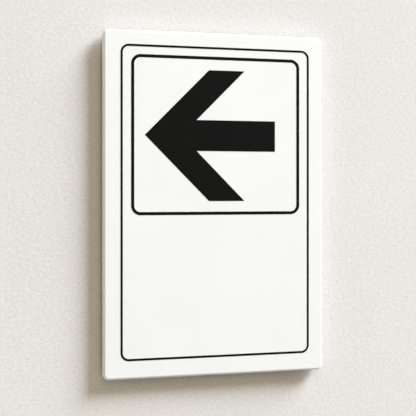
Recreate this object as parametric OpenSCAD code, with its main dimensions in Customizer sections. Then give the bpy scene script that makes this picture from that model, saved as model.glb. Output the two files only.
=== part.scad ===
// Wall sign with a direction arrow: a moulded plastic plate with rounded edges, black cut film for the
// two borders and the arrow on its front, and strips of foam tape on its back.
// Millimetres. The wall is the plane y = 0, the front looks along -Y, +Z is up and the arrow points to -X.
// The origin lies on the wall side of the middle strip of tape, behind the middle of the plate.

/* [Plate] */
// Width of the plate
plate_w = 200; // [180:1:300]
// Height of the plate
plate_h = 300; // [260:1:450]
// Thickness of the plate
plate_t = 6; // [4:0.1:12]
// Radius of the round along the front edge
front_edge_r = 2.3; // [0.5:0.1:3]
// Radius of the round along the back edge
back_edge_r = 0.5; // [0.2:0.1:1]
// Corner radius of the flat part of the front
flat_corner_r = 2.7; // [0.4:0.1:10]

/* [Borders] */
// Thickness of the cut film
film_t = 0.1; // [0.05:0.01:0.3]
// How far the design sits above the middle of the plate
design_rise = 1.8; // [0:0.1:6]
// How far the design sits to the right of the middle of the plate
design_shift = 0.8; // [0:0.1:4]
// Line width of the outer border
outer_line_w = 1.9; // [0.8:0.1:4]
// Distance from the plate's edge to the outer border
outer_margin = 14.1; // [8:0.1:22]
// Outside corner radius of the outer border
outer_corner_r = 7.2; // [5:0.1:14]
// Line width of the inner border
inner_line_w = 2.7; // [1.2:0.1:5]
// Clear distance between the borders at the sides
inner_side_gap = 7.3; // [4:0.1:14]
// Clear distance between the borders at the top
inner_top_gap = 6.5; // [4:0.1:14]
// Height of the inner border over its lines
inner_h = 138.5; // [110:0.5:200]
// Outside corner radius of the inner border
inner_corner_r = 8.2; // [6:0.1:14]

/* [Arrow] */
// Clear distance from the inner border to the arrow's point and to the ends of its head
arrow_gap = 9.3; // [5:0.1:16]
// Clear distance from the inner border to the end of the shaft
shaft_end_gap = 20.4; // [10:0.1:30]
// Angle between the shaft and each arm of the head
head_angle = 45; // [40:1:55]
// Width of each arm of the head
arm_w = 23; // [14:0.5:27]
// Width of the shaft
shaft_w = 27; // [14:0.5:34]

/* [Foam tape] */
// Thickness of the tape
tape_t = 4; // [0.5:0.1:5]
// Width of each strip of tape
tape_w = 19; // [9:1:30]
// Distance from the ends of a strip to the top and bottom edges of the plate
tape_end_gap = 15; // [5:1:40]
// Distance from the outer strips to the side edges of the plate
tape_side_gap = 12; // [5:1:30]

/* [Hidden] */
$fn = 64;

plate_color = "#f8f8f6";
film_color = "#1b1b19";
tape_color = "#d5d5d1";

plate_corner_r = flat_corner_r + front_edge_r;
straight_w = plate_w - 2 * plate_corner_r;
straight_h = plate_h - 2 * plate_corner_r;
front_y = -tape_t - plate_t;

outer_w = plate_w - 2 * outer_margin;
outer_h = plate_h - 2 * outer_margin;
inner_w = outer_w - 2 * (outer_line_w + inner_side_gap);
inner_top = plate_h / 2 - outer_margin - outer_line_w - inner_top_gap;
inner_mid_z = inner_top - inner_h / 2;

// The arrow is drawn from its point backwards along x
arrow_point_x = -inner_w / 2 + inner_line_w + arrow_gap;
arrow_l = inner_w - 2 * inner_line_w - arrow_gap - shaft_end_gap;
head_half_h = inner_h / 2 - inner_line_w - arrow_gap;
head_back = head_half_h / tan(head_angle);
arm_cut_w = arm_w / sin(head_angle);
notch_back = arm_cut_w + shaft_w / 2 / tan(head_angle);

tape_l = plate_h - 2 * tape_end_gap;
tape_x = plate_w / 2 - tape_side_gap - tape_w / 2;

module quarter_disc(r) {
    intersection() {
        circle(r = r);
        square(2 * r);
    }
}

// Section through the rim: x runs outwards from the centre of a corner, y from the back to the front
module rim_section() {
    union() {
        square([flat_corner_r, plate_t]);
        translate([0, back_edge_r])
            square([plate_corner_r, plate_t - front_edge_r - back_edge_r]);
        square([plate_corner_r - back_edge_r, plate_t - front_edge_r]);
        translate([flat_corner_r, plate_t - front_edge_r])
            quarter_disc(front_edge_r);
        translate([plate_corner_r - back_edge_r, back_edge_r])
            mirror([0, 1])
                quarter_disc(back_edge_r);
    }
}

// Lays a shape drawn in x and y, and raised in z, on the plane y = depth with its front towards -Y
module on_plane(depth) {
    translate([0, depth, 0])
        rotate([90, 0, 0])
            children();
}

// Rectangle with round corners, centred
module round_rect(w, h, r) {
    union() {
        square([w - 2 * r, h], center = true);
        square([w, h - 2 * r], center = true);
        for (sx = [-1, 1], sz = [-1, 1])
            translate([sx * (w / 2 - r), sz * (h / 2 - r)])
                circle(r = r);
    }
}

// Line of even width round a rectangle with round corners
module border(w, h, r, line_w) {
    linear_extrude(film_t)
        difference() {
            round_rect(w, h, r);
            round_rect(w - 2 * line_w, h - 2 * line_w, r - line_w);
        }
}

// Straight side of the rim, at a distance from the middle and turned about the middle
module rim_side(turn, length, distance) {
    rotate([0, 0, turn])
        translate([distance, 0, 0])
            rotate([90, 0, 0])
                translate([0, 0, -length / 2])
                    linear_extrude(length)
                        rim_section();
}

// Round corner of the rim, a quarter turn that starts at the angle given
module rim_corner(turn, x, z) {
    translate([x, z, 0])
        rotate([0, 0, turn])
            rotate_extrude(angle = 90)
                rim_section();
}

module plate() {
    half_w = straight_w / 2;
    half_h = straight_h / 2;
    color(plate_color)
        on_plane(-tape_t)
            union() {
                translate([-half_w, -half_h, 0])
                    cube([straight_w, straight_h, plate_t]);
                for (turn = [0, 180])
                    rim_side(turn, straight_h, half_w);
                for (turn = [90, 270])
                    rim_side(turn, straight_w, half_h);
                rim_corner(0, half_w, half_h);
                rim_corner(90, -half_w, half_h);
                rim_corner(180, -half_w, -half_h);
                rim_corner(270, half_w, -half_h);
            }
}

module outer_border() {
    color(film_color)
        translate([design_shift, 0, design_rise])
            on_plane(front_y)
                border(outer_w, outer_h, outer_corner_r, outer_line_w);
}

module inner_border() {
    color(film_color)
        translate([design_shift, 0, design_rise + inner_mid_z])
            on_plane(front_y)
                border(inner_w, inner_h, inner_corner_r, inner_line_w);
}

module arrow() {
    // The upper half from the head to the end of the shaft, and the same mirrored below
    upper = [
        [head_back, head_half_h],
        [head_back + arm_cut_w, head_half_h],
        [notch_back, shaft_w / 2],
        [arrow_l, shaft_w / 2]
    ];
    lower = [for (i = [len(upper) - 1:-1:0]) [upper[i].x, -upper[i].y]];
    color(film_color)
        translate([design_shift + arrow_point_x, 0, design_rise + inner_mid_z])
            on_plane(front_y)
                linear_extrude(film_t)
                    polygon(concat([[0, 0]], upper, lower));
}

module tape_strip(x) {
    color(tape_color)
        translate([x - tape_w / 2, -tape_t, -tape_l / 2])
            cube([tape_w, tape_t, tape_l]);
}

module tape_left() { tape_strip(-tape_x); }
module tape_middle() { tape_strip(0); }
module tape_right() { tape_strip(tape_x); }

plate();
outer_border();
inner_border();
arrow();
tape_left();
tape_middle();
tape_right();
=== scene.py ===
import math

import bpy
import numpy as np
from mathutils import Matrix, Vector


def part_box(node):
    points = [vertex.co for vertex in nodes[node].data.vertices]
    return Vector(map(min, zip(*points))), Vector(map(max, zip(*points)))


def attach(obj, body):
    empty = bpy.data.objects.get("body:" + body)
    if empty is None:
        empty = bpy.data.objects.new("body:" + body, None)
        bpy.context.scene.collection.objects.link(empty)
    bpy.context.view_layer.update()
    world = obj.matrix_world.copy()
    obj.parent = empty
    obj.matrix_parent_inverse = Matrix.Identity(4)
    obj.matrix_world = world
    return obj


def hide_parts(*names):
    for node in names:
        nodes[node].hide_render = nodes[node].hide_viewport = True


# Arrow sign on a wall. Metres; the wall is the plane y = 0, the front looks along -Y and +Z is up.
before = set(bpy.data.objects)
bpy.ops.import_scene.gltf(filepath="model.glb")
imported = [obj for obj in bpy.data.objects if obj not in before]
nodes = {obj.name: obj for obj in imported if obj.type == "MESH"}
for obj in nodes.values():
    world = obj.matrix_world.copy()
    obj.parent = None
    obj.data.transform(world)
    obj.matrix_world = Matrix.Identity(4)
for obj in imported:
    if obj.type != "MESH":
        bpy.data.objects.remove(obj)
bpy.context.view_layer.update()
print("frame loaded:", ", ".join(sorted(nodes)))


# Camera
cameraSettings = {
    "place": (-0.23865, -0.83565, 0.01253),
    "turn": 15.636,        # degrees to the right of straight ahead
    "lens": 84.79,
    "sensor": 36,
    "shiftY": -0.04342,    # the level camera stands above the middle of the picture
}


def makeCamera(s):
    data = bpy.data.cameras.new("viewCamera")
    data.lens = s["lens"]
    data.sensor_width = s["sensor"]
    data.shift_y = s["shiftY"]
    camera = bpy.data.objects.new("viewCamera", data)
    camera.location = s["place"]
    camera.rotation_euler = (math.pi / 2, 0, -math.radians(s["turn"]))
    bpy.context.scene.collection.objects.link(camera)
    bpy.context.scene.camera = camera


makeCamera(cameraSettings)
print("camera placed")


# Small helpers for node trees
def srgb(r, g, b):
    values = (c / 255 for c in (r, g, b))
    return tuple(v / 12.92 if v <= 0.04045 else ((v + 0.055) / 1.055) ** 2.4 for v in values) + (1,)


def newMaterial(name):
    material = bpy.data.materials.new(name)
    material.use_nodes = True
    tree = material.node_tree
    tree.nodes.clear()
    return material, tree


def addNode(tree, kind, x, y, **values):
    node = tree.nodes.new(kind)
    node.location = (x, y)
    for key, value in values.items():
        setattr(node, key, value)
    return node


def setInputs(node, **values):
    for key, value in values.items():
        node.inputs[key.replace("_", " ")].default_value = value


def rampBetween(tree, x, y, span, colours):
    ramp = addNode(tree, "ShaderNodeValToRGB", x, y)
    ramp.color_ramp.elements[0].position = span[0]
    ramp.color_ramp.elements[1].position = span[1]
    ramp.color_ramp.elements[0].color = colours[0]
    ramp.color_ramp.elements[1].color = colours[1]
    return ramp


def openFinish(material):
    tree = material.node_tree
    shader = next(n for n in tree.nodes if n.type == "BSDF_PRINCIPLED")
    return tree, tree.links.new, shader


# Multiplies a colour into what the finish has so far
def darkenBy(tree, shader, colour, x, y):
    mix = addNode(tree, "ShaderNodeMix", x, y, data_type="RGBA", blend_type="MULTIPLY")
    mix.inputs[0].default_value = 1.0
    tree.links.new(shader.inputs["Base Color"].links[0].from_socket, mix.inputs[6])
    tree.links.new(colour, mix.inputs[7])
    tree.links.new(mix.outputs[2], shader.inputs["Base Color"])


noiseSettings = {"grainDetail": 3, "driftDetail": 4, "roughness": 0.55}


# One effect for every finish: a fine grain, and a broad slow drift under it
def makeSurfaceGrain(s):
    group = bpy.data.node_groups.new("surfaceGrain", "ShaderNodeTree")
    face = group.interface
    for name, value in (("Grain Size", 0.0008), ("Drift Size", 0.05), ("Seed", 0.0)):
        face.new_socket(name, in_out="INPUT", socket_type="NodeSocketFloat").default_value = value
    source = addNode(group, "NodeGroupInput", -900, 0)
    target = addNode(group, "NodeGroupOutput", 500, 0)
    place = addNode(group, "ShaderNodeTexCoord", -900, 300)
    link = group.links.new
    for row, name in enumerate(("Grain", "Drift")):
        face.new_socket(name, in_out="OUTPUT", socket_type="NodeSocketFloat")
        invert = addNode(group, "ShaderNodeMath", -650, -200 * row, operation="DIVIDE")
        invert.inputs[0].default_value = 1.0
        link(source.outputs[name + " Size"], invert.inputs[1])
        noise = addNode(group, "ShaderNodeTexNoise", -350, -250 * row, noise_dimensions="4D")
        setInputs(noise, Detail=s[name.lower() + "Detail"], Roughness=s["roughness"])
        link(place.outputs["Object"], noise.inputs["Vector"])
        link(source.outputs["Seed"], noise.inputs["W"])
        link(invert.outputs[0], noise.inputs["Scale"])
        link(noise.outputs["Fac"], target.inputs[name])
    return group


surfaceGrain = makeSurfaceGrain(noiseSettings)


# The part of the drift's range over which the tone and the gloss change
driftSpans = {"tone": (0.35, 0.65), "gloss": (0.3, 0.7)}


# A finish that is even from a step away: tone and gloss drift a little, the grain only dimples it
def grainyFinish(name, s):
    material, tree = newMaterial(name)
    link = tree.links.new
    out = addNode(tree, "ShaderNodeOutputMaterial", 900, 0)
    shader = addNode(tree, "ShaderNodeBsdfPrincipled", 550, 0)
    link(shader.outputs[0], out.inputs["Surface"])
    grain = addNode(tree, "ShaderNodeGroup", -500, 0, node_tree=surfaceGrain)
    setInputs(grain, Grain_Size=s["grainSize"], Drift_Size=s["driftSize"], Seed=s["seed"])
    tone = rampBetween(tree, -150, 250, driftSpans["tone"], s["colours"])
    link(grain.outputs["Drift"], tone.inputs["Fac"])
    link(tone.outputs["Color"], shader.inputs["Base Color"])
    gloss = addNode(tree, "ShaderNodeMapRange", -150, 0)
    low, high = driftSpans["gloss"]
    setInputs(gloss, From_Min=low, From_Max=high, To_Min=s["roughness"][0], To_Max=s["roughness"][1])
    link(grain.outputs["Drift"], gloss.inputs["Value"])
    link(gloss.outputs["Result"], shader.inputs["Roughness"])
    bump = addNode(tree, "ShaderNodeBump", 200, -300)
    setInputs(bump, Strength=s["bump"], Distance=s["bumpDepth"])
    link(grain.outputs["Grain"], bump.inputs["Height"])
    link(bump.outputs["Normal"], shader.inputs["Normal"])
    shader.inputs["Specular IOR Level"].default_value = s["specular"]
    return material


# A closed surface over loops of points, an array (loop, point, xyz). Each loop turns to the left as seen
# from outside its own end, and the first and last loops are filled flat. The columns named are flat too.
def skinLoops(name, rings, flatColumns=()):
    count, points = rings.shape[:2]
    here = np.arange(count * points).reshape(count, points)
    after = np.roll(here, -1, axis=1)
    quads = np.stack([here[:-1], here[1:], after[1:], after[:-1]], axis=-1).reshape(-1, 4)
    faces = quads.tolist() + [here[0].tolist(), here[-1, ::-1].tolist()]
    smooth = np.ones((count - 1, points), dtype=bool)
    smooth[:, list(flatColumns)] = False
    return makeMesh(name, rings, faces, np.append(smooth.ravel(), [False, False]))


# A closed band: the last loop joins the first one again
def bandLoops(name, rings):
    count, points = rings.shape[:2]
    here = np.arange(count * points).reshape(count, points)
    below = np.roll(here, -1, axis=0)
    quads = np.stack([here, below, np.roll(below, -1, axis=1), np.roll(here, -1, axis=1)], axis=-1)
    faces = quads.reshape(-1, 4).tolist()
    return makeMesh(name, rings, faces, np.zeros(len(faces), dtype=bool))


def makeMesh(name, points, faces, smooth):
    mesh = bpy.data.meshes.new(name)
    mesh.from_pydata(points.reshape(-1, 3).tolist(), [], faces)
    mesh.polygons.foreach_set("use_smooth", smooth)
    mesh.update()
    return mesh


def addPiece(name, mesh, materials, node):
    piece = bpy.data.objects.new(name, mesh)
    bpy.context.scene.collection.objects.link(piece)
    for material in materials:
        mesh.materials.append(material)
    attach(piece, "root")
    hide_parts(node)


# Four quarter circles joined by straight sides, turning to the left from the right-hand side.
# Point = corner centre + radius * (cos a, sin a). Gives the points and the outward directions, each (n, 2).
def roundOutline(centre, halfSize, radius, steps):
    angle = (np.arange(4)[:, None] * np.pi / 2 + np.linspace(0, np.pi / 2, steps + 1)).ravel()
    outward = np.stack([np.cos(angle), np.sin(angle)], axis=-1)
    corner = np.repeat([[1, 1], [-1, 1], [-1, -1], [1, -1]], steps + 1, axis=0)
    return centre + corner * (halfSize - radius) + radius * outward, outward


# Loops that lie in x and z at one depth each
def atDepths(outlines, depths):
    rings = np.empty((len(outlines), outlines[0].shape[0], 3))
    rings[:, :, [0, 2]] = outlines
    rings[:, :, 1] = np.asarray(depths)[:, None]
    return rings


# Middle and half size in x and z of a node's box, and its depths
def nodeFace(name):
    low, high = (np.array(corner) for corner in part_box(name))
    return (low + high)[[0, 2]] / 2, (high - low)[[0, 2]] / 2, low[1], high[1]


# Plate
plateShape = {
    "frontRound": 0.0023,
    "backRound": 0.0005,
    "cornerRadius": 0.005,
    "cornerSteps": 20,
    "roundSteps": 20,
}
plateFinish = {
    "colours": (srgb(247, 247, 245), srgb(249, 249, 247)),
    "roughness": (0.38, 0.46),
    "grainSize": 0.0009,
    "driftSize": 0.045,
    "bump": 0.12,
    "bumpDepth": 0.00006,
    "specular": 0.5,
    "seed": 0.0,
}


# The outline is drawn in by r (1 - sin t) at depth r (1 - cos t) for the front round, t from 0 to 90
# degrees, and by q (1 - cos t) at depth thickness - q (1 - sin t) for the back round
def makePlate(s):
    centre, halfSize, front, back = nodeFace("plate")
    turn = np.linspace(0, np.pi / 2, s["roundSteps"] + 1)
    inset = np.concatenate([s["frontRound"] * (1 - np.sin(turn)), s["backRound"] * (1 - np.cos(turn))])
    depth = np.concatenate([front + s["frontRound"] * (1 - np.cos(turn)),
                            back - s["backRound"] * (1 - np.sin(turn))])
    outline, outward = roundOutline(centre, halfSize, s["cornerRadius"], s["cornerSteps"])
    rings = atDepths(outline - inset[:, None, None] * outward, depth)
    material = grainyFinish("whitePlastic", plateFinish)
    addPiece("mouldedPlate", skinLoops("mouldedPlate", rings), [material], "plate")


makePlate(plateShape)
print("plate made")

# Cut film
filmShape = {
    "outer_border": {"name": "outerLine", "radius": 0.0072, "lineWidth": 0.0019},
    "inner_border": {"name": "innerLine", "radius": 0.0082, "lineWidth": 0.0027},
    "cornerSteps": 24,
}
filmFinish = {
    "colours": (srgb(10, 10, 9), srgb(13, 13, 12)),
    "roughness": (0.42, 0.52),
    "grainSize": 0.0006,
    "driftSize": 0.03,
    "bump": 0.15,
    "bumpDepth": 0.00004,
    "specular": 0.06,
    "seed": 3.0,
}


# A line round the sign: its outer outline, and the same drawn in by the line's width
def makeLine(node, s, steps, material):
    centre, halfSize, front, back = nodeFace(node)
    outer, outward = roundOutline(centre, halfSize, s["radius"], steps)
    inner = outer - s["lineWidth"] * outward
    rings = atDepths([outer, outer, inner, inner], [front, back, back, front])
    addPiece(s["name"], bandLoops(s["name"], rings), [material], node)


# The arrow has only straight edges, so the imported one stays
def makeFilm(s):
    material = grainyFinish("blackFilm", filmFinish)
    for node in ("outer_border", "inner_border"):
        makeLine(node, s[node], s["cornerSteps"], material)
    arrow = nodes["arrow"]
    arrow.data.materials.clear()
    arrow.data.materials.append(material)


makeFilm(filmShape)
print("film made")

# Foam tape
tapeShape = {
    "drawnIn": 0.0004,      # the foam is narrower between its two sticky skins
    "drawPower": 3,
    "wander": 0.0003,       # how much the cut sides wander, in two waves of a length and a share each
    "waves": ((0.0061, 0.3), (0.0023, 0.2)),
    "crook": 0.0005,        # how much out of square the ends are cut
    "crookPower": 24,       # and how close to the ends that stays
    "rows": 160,
    "sideSteps": 12,
}
foamFinish = {
    "colours": (srgb(206, 206, 201), srgb(222, 222, 218)),
    "cellSize": 0.0007,     # closed cells, cut open along the sides
    "cellUneven": 0.9,
    # painted shade inside the cut-open cells, darkest at each cell's middle
    "pitShadeColour": (0.72, 0.72, 0.70, 1),
    "pitSpan": (0.05, 0.5),
    "roughness": (0.8, 0.9),
    "grainSize": 0.0004,
    "driftSize": 0.02,
    "bump": 0.25,
    "bumpDepth": 0.0002,
    "cellBump": 0.6,
    "cellDepth": 0.00025,
    "specular": 0.3,
    "seed": 7.0,
}
stickyFinish = {
    "colours": (srgb(214, 214, 208), srgb(226, 226, 221)),
    "roughness": (0.3, 0.5),
    "grainSize": 0.0016,
    "driftSize": 0.012,
    "bump": 0.2,
    "bumpDepth": 0.0002,
    "specular": 0.4,
    "seed": 9.0,
}


# The foam's cells: each is a pit, deepest at its middle, with painted shade that is darkest there
def foamCells(material, s):
    tree, link, shader = openFinish(material)
    grainBump = next(n for n in tree.nodes if n.type == "BUMP")
    place = addNode(tree, "ShaderNodeTexCoord", -700, 600)
    cells = addNode(tree, "ShaderNodeTexVoronoi", -450, 600)
    setInputs(cells, Scale=1 / s["cellSize"], Randomness=s["cellUneven"])
    pitShade = rampBetween(tree, -150, 600, s["pitSpan"], (s["pitShadeColour"], (1, 1, 1, 1)))
    bump = addNode(tree, "ShaderNodeBump", 50, -500)
    setInputs(bump, Strength=s["cellBump"], Distance=s["cellDepth"])
    link(place.outputs["Object"], cells.inputs["Vector"])
    link(cells.outputs["Distance"], pitShade.inputs["Fac"])
    # Multiplies the painted pit shade into the foam's colour
    darkenBy(tree, shader, pitShade.outputs["Color"], 350, 500)
    link(cells.outputs["Distance"], bump.inputs["Height"])
    link(bump.outputs["Normal"], grainBump.inputs["Normal"])
    return material


# Loops in x and y up the strip. A side lies at half the width, less the foam's own draw, which is
# drawnIn * (1 - |2v - 1|^3) with v from skin to skin, and less a sum of two sines along the strip.
# The ends are drawn in by crook * |up|^24 on the right, with up from -1 to 1, and by nothing on the left.
def makeStrip(name, node, s, seed, materials):
    centre, halfSize, front, back = nodeFace(node)
    v = np.linspace(0, 1, s["sideSteps"] + 1)
    up = np.linspace(-1, 1, s["rows"])
    draw = s["drawnIn"] * (1 - np.abs(2 * v - 1) ** s["drawPower"])
    (longWave, longShare), (shortWave, shortShare) = s["waves"]
    length = (up * halfSize[1])[:, None]
    rings = np.empty((len(up), 2 * len(v), 3))
    for side, part in ((1, slice(0, len(v))), (-1, slice(len(v), None))):
        wander = (0.5 + longShare * np.sin(length / longWave + seed + side)
                  + shortShare * np.sin(length / shortWave + 3 * seed))
        across = v if side == 1 else v[::-1]
        rings[:, part, 0] = centre[0] + side * (halfSize[0] - draw - s["wander"] * wander)
        rings[:, part, 1] = back - across * (back - front)
    slant = s["crook"] * np.sign(up) * np.abs(up) ** s["crookPower"]
    tilt = 0.5 + 0.5 * (rings[:, :, 0] - centre[0]) / halfSize[0]
    rings[:, :, 2] = centre[1] + length - slant[:, None] * tilt
    skins = (len(v) - 1, 2 * len(v) - 1)
    mesh = skinLoops(name, rings, skins)
    sticky = np.zeros((s["rows"] - 1, 2 * len(v)), dtype=np.int32)
    sticky[:, skins] = 1
    mesh.polygons.foreach_set("material_index", np.append(sticky.ravel(), [0, 0]))
    addPiece(name, mesh, materials, node)


def makeTape(s):
    materials = [foamCells(grainyFinish("foamCore", foamFinish), foamFinish),
                 grainyFinish("stickySkin", stickyFinish)]
    for seed, side in enumerate(("Left", "Middle", "Right")):
        makeStrip("tape" + side, "tape_" + side.lower(), s, seed, materials)


makeTape(tapeShape)
print("tape made")


# Wall and floor, which aren't part of the sign
roomSettings = {
    "wallHalf": 3.0,
    "wallBehind": 0.0001,                  # a hair behind the tape, so that the two don't lie in one plane
    "floorLevel": -0.5,
    "floorBounce": srgb(124, 117, 109),    # the floor sends up less light than it shows
    "contactReach": 0.02,
    "contactSamples": 12,
    "contactShadeTones": (                      # how open a place is, and the tone of painted shade that it takes
        (0.36, (0.26, 0.19, 0.11, 1)),
        (0.46, (0.89, 0.87, 0.84, 1)),
        (0.9, (1, 1, 1, 1)),
    ),
}
wallFinish = {
    "colours": (srgb(235, 232, 228), srgb(240, 237, 233)),
    "roughness": (0.85, 0.95),
    "grainSize": 0.0028,
    "driftSize": 0.25,
    "bump": 0.22,
    "bumpDepth": 0.0006,
    "specular": 0.2,
    "seed": 11.0,
    "markSize": 0.0022,
    "markSqueeze": (0.75, 1.0, 1.3),
    "markDetail": 2,
    "markRoughness": 0.6,
    "markSpan": (0.28, 0.62),
    "markColour": (0.88, 0.88, 0.88, 1),
}
floorFinish = {
    **wallFinish,
    "colours": (srgb(163, 159, 152), srgb(167, 163, 156)),
    "bump": 0.1,
    "specular": 0.0,
}


# The colour given lights other surfaces, and the finish's own colour is what is seen
def quietBounce(material, colour):
    tree, link, shader = openFinish(material)
    path = addNode(tree, "ShaderNodeLightPath", -150, 700)
    first = addNode(tree, "ShaderNodeMath", 50, 600, operation="MAXIMUM")
    both = addNode(tree, "ShaderNodeMath", 200, 600, operation="MAXIMUM")
    mix = addNode(tree, "ShaderNodeMix", 350, 400, data_type="RGBA")
    link(path.outputs["Is Camera Ray"], first.inputs[0])
    link(path.outputs["Is Glossy Ray"], first.inputs[1])
    link(first.outputs[0], both.inputs[0])
    link(path.outputs["Is Transmission Ray"], both.inputs[1])
    link(both.outputs[0], mix.inputs[0])
    mix.inputs[6].default_value = colour
    link(shader.inputs["Base Color"].links[0].from_socket, mix.inputs[7])
    link(mix.outputs[2], shader.inputs["Base Color"])
    return material


# Small marks, a little longer than they are high, that darken the colour slightly
def stipple(material, s):
    tree, link, shader = openFinish(material)
    place = addNode(tree, "ShaderNodeTexCoord", -700, 500)
    squeeze = addNode(tree, "ShaderNodeMapping", -500, 500)
    squeeze.inputs["Scale"].default_value = s["markSqueeze"]
    marks = addNode(tree, "ShaderNodeTexNoise", -300, 500)
    setInputs(marks, Scale=1 / s["markSize"], Detail=s["markDetail"], Roughness=s["markRoughness"])
    tone = rampBetween(tree, -100, 500, s["markSpan"], (s["markColour"], (1, 1, 1, 1)))
    link(place.outputs["Object"], squeeze.inputs["Vector"])
    link(squeeze.outputs["Vector"], marks.inputs["Vector"])
    link(marks.outputs["Fac"], tone.inputs["Fac"])
    darkenBy(tree, shader, tone.outputs["Color"], 350, 500)
    return material


# Painted shade: close to the sign the wall takes a darker tone, in step with how much of its view is
# covered
def contactShade(material, s):
    tree, link, shader = openFinish(material)
    openness = addNode(tree, "ShaderNodeAmbientOcclusion", -150, 900, samples=s["contactSamples"])
    openness.inputs["Distance"].default_value = s["contactReach"]
    (deep, dark), (middle, half), (free, clear) = s["contactShadeTones"]
    tone = rampBetween(tree, 50, 900, (deep, free), (dark, clear))
    tone.color_ramp.elements.new(middle).color = half
    link(openness.outputs["AO"], tone.inputs["Fac"])
    # Multiplies the painted contact shade into the wall's colour
    darkenBy(tree, shader, tone.outputs["Color"], 350, 800)
    return material


# Shows only from its front. What is seen through the wall from behind gets no bounce from it either.
def oneSided(material, quietBehind):
    tree, link, shader = openFinish(material)
    out = next(n for n in tree.nodes if n.type == "OUTPUT_MATERIAL")
    side = addNode(tree, "ShaderNodeNewGeometry", 300, 400)
    path = addNode(tree, "ShaderNodeLightPath", 300, 700)
    either = addNode(tree, "ShaderNodeMath", 450, 500, operation="MAXIMUM")
    clear = addNode(tree, "ShaderNodeBsdfTransparent", 550, 250)
    mix = addNode(tree, "ShaderNodeMixShader", 800, 200)
    link(side.outputs["Backfacing"], either.inputs[0])
    link(path.outputs["Is Shadow Ray"], either.inputs[1])
    link(either.outputs[0], mix.inputs["Fac"])
    if quietBehind:
        unseen = addNode(tree, "ShaderNodeMath", 450, 900, operation="SUBTRACT")
        bounced = addNode(tree, "ShaderNodeMath", 450, 700, operation="MULTIPLY")
        notSolid = addNode(tree, "ShaderNodeMath", 600, 500, operation="MAXIMUM", use_clamp=True)
        unseen.inputs[0].default_value = 1.0
        link(path.outputs["Is Camera Ray"], unseen.inputs[1])
        link(unseen.outputs[0], bounced.inputs[0])
        link(path.outputs["Transparent Depth"], bounced.inputs[1])
        link(bounced.outputs[0], notSolid.inputs[0])
        link(either.outputs[0], notSolid.inputs[1])
        link(notSolid.outputs[0], mix.inputs["Fac"])
    link(shader.outputs[0], mix.inputs[1])
    link(clear.outputs[0], mix.inputs[2])
    link(mix.outputs[0], out.inputs["Surface"])
    return material


def makeSheet(name, material, corners):
    mesh = bpy.data.meshes.new(name)
    mesh.from_pydata(corners, [], [(0, 1, 2, 3)])
    mesh.materials.append(material)
    sheet = bpy.data.objects.new(name, mesh)
    bpy.context.scene.collection.objects.link(sheet)


def makeRoom(s):
    half, level, behind = s["wallHalf"], s["floorLevel"], s["wallBehind"]
    plaster = stipple(grainyFinish("plaster", wallFinish), wallFinish)
    paint = quietBounce(grainyFinish("paleFloor", floorFinish), s["floorBounce"])
    makeSheet("wall", oneSided(contactShade(plaster, s), True),
              [(-half, behind, level), (half, behind, level), (half, behind, half), (-half, behind, half)])
    makeSheet("floor", oneSided(paint, False),
              [(-half, -half, level), (half, -half, level), (half, half, level), (-half, half, level)])


makeRoom(roomSettings)
print("wall and floor made")


# Light
lightSettings = {
    "keyFrom": (6.50, -3.05, 7.15),      # upper right, close to the wall's plane
    "keyShape": "DISK",                  # round, so that the shadow's edge starts gently
    "keySize": 4.7,
    "keyPower": 2506.0,
    "keyColour": (0.822, 0.883, 1.0),
    "frontFrom": (-0.67, -4.60, 3.80),    # a broad one from above, which softens the shadow near the sign
    "frontSize": 6.0,
    "frontPower": 117.5,
    "frontColour": (1.0, 0.832, 0.454),
    "fillFrom": (-4.89, -1.04, 1.1),     # a weak one along the wall, for the shaded left side
    "fillSize": 1.5,
    "fillPower": 33.0,
    "fillColour": (0.82, 0.85, 1.0),
    "rearFrom": (0.6, 2.4, 1.0),         # lights only what is seen through the back of the wall
    "rearSize": 2.6,
    "rearPower": 76.0,
    "rearColour": (1.0, 1.0, 1.0),
    "rearBounces": 1.5,                  # and only up to this depth, its first bounce
    "around": 0.075,                     # light from all round
    "aroundColour": (1.0, 0.93, 0.80, 1),
    "background": (0.93, 0.93, 0.92, 1),
}


def makeAreaLight(name, s):
    place = Vector(s[name + "From"])
    data = bpy.data.lights.new(name + "Light", "AREA")
    data.shape = s.get(name + "Shape", "SQUARE")
    data.size = s[name + "Size"]
    data.energy = s[name + "Power"]
    data.color = s[name + "Colour"]
    light = bpy.data.objects.new(name + "Light", data)
    light.location = place
    light.rotation_euler = (-place).to_track_quat("-Z", "Y").to_euler()
    light.visible_camera = False
    bpy.context.scene.collection.objects.link(light)
    return light


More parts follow.
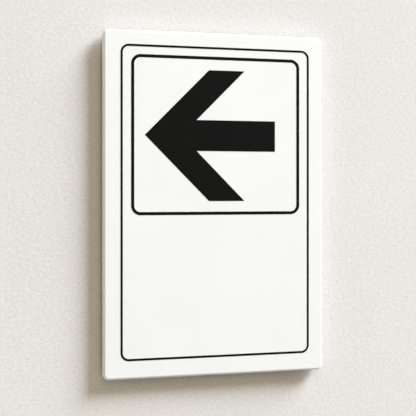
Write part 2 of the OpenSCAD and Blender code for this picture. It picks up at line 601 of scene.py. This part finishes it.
# Its light counts only for what is seen through the back of the wall, and only where it falls first
def onlyThroughWall(light, bounces):
    light.data.use_nodes = True
    tree = light.data.node_tree
    path = addNode(tree, "ShaderNodeLightPath", -800, 0)
    through = addNode(tree, "ShaderNodeMath", -550, 0, operation="MINIMUM")
    first = addNode(tree, "ShaderNodeMath", -550, -200, operation="LESS_THAN")
    both = addNode(tree, "ShaderNodeMath", -300, 0, operation="MULTIPLY")
    through.inputs[1].default_value = 1.0
    first.inputs[1].default_value = bounces
    tree.links.new(path.outputs["Transparent Depth"], through.inputs[0])
    tree.links.new(path.outputs["Ray Depth"], first.inputs[0])
    tree.links.new(through.outputs[0], both.inputs[0])
    tree.links.new(first.outputs[0], both.inputs[1])
    tree.links.new(both.outputs[0], tree.nodes["Emission"].inputs["Strength"])


def makeWorld(s):
    world = bpy.data.worlds.new("paleRoom")
    bpy.context.scene.world = world
    world.use_nodes = True
    tree = world.node_tree
    tree.nodes.clear()
    link = tree.links.new
    out = addNode(tree, "ShaderNodeOutputWorld", 700, 0)
    path = addNode(tree, "ShaderNodeLightPath", -600, 200)
    seen = addNode(tree, "ShaderNodeMath", -300, 200, operation="MAXIMUM")
    seenToo = addNode(tree, "ShaderNodeMath", -100, 200, operation="MAXIMUM")
    ambient = addNode(tree, "ShaderNodeBackground", 100, 0)
    shown = addNode(tree, "ShaderNodeBackground", 100, -200)
    mix = addNode(tree, "ShaderNodeMixShader", 400, 0)
    setInputs(ambient, Color=s["aroundColour"], Strength=s["around"])
    setInputs(shown, Color=s["background"], Strength=1.0)
    link(path.outputs["Is Camera Ray"], seen.inputs[0])
    link(path.outputs["Is Glossy Ray"], seen.inputs[1])
    link(seen.outputs[0], seenToo.inputs[0])
    link(path.outputs["Is Transmission Ray"], seenToo.inputs[1])
    link(seenToo.outputs[0], mix.inputs["Fac"])
    link(ambient.outputs[0], mix.inputs[1])
    link(shown.outputs[0], mix.inputs[2])
    link(mix.outputs[0], out.inputs["Surface"])


for lamp in ("key", "front", "fill"):
    makeAreaLight(lamp, lightSettings)
onlyThroughWall(makeAreaLight("rear", lightSettings), lightSettings["rearBounces"])
makeWorld(lightSettings)
bpy.context.scene.view_settings.view_transform = "Standard"
print("lights made")
